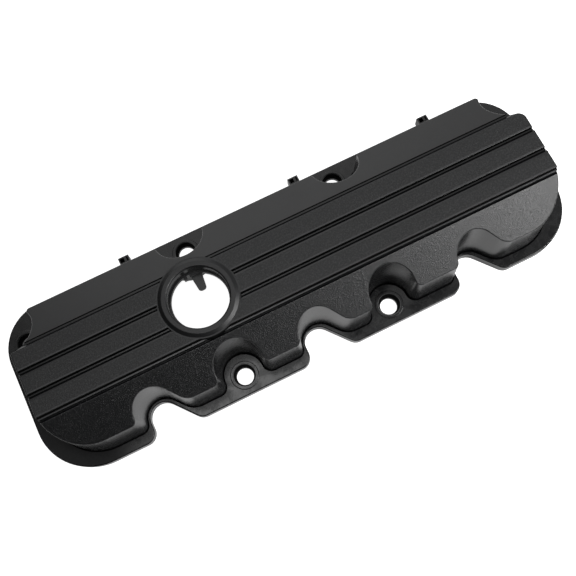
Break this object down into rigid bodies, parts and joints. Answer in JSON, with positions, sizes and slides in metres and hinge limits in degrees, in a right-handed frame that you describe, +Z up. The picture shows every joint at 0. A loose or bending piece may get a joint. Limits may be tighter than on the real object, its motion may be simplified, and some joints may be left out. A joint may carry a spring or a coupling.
{
  "type": "engine valve cover",
  "caption": "Moulded black engine valve cover: a long shell with three flat ribbed bands, an oil-fill neck, spark-plug notches and bolt seats in its flange.",
  "frame": {"origin": "middle of the footprint, on the flange's underside that bolts to the cylinder head", "axes": "+Z up out of the head; +X along the head, left to right when seen from the spark-plug side; +Y from the spark-plug side to the rear edge"},
  "size_m": [0.3704, 0.1188, 0.0553],
  "materials": {
    "nylon": "satin moulded, fine grain on the roof",
    "seal": "matt"
  },
  "bodies": {
    "root": {"valve_cover": "nylon", "gasket": "seal"}
  },
  "joints": []
}
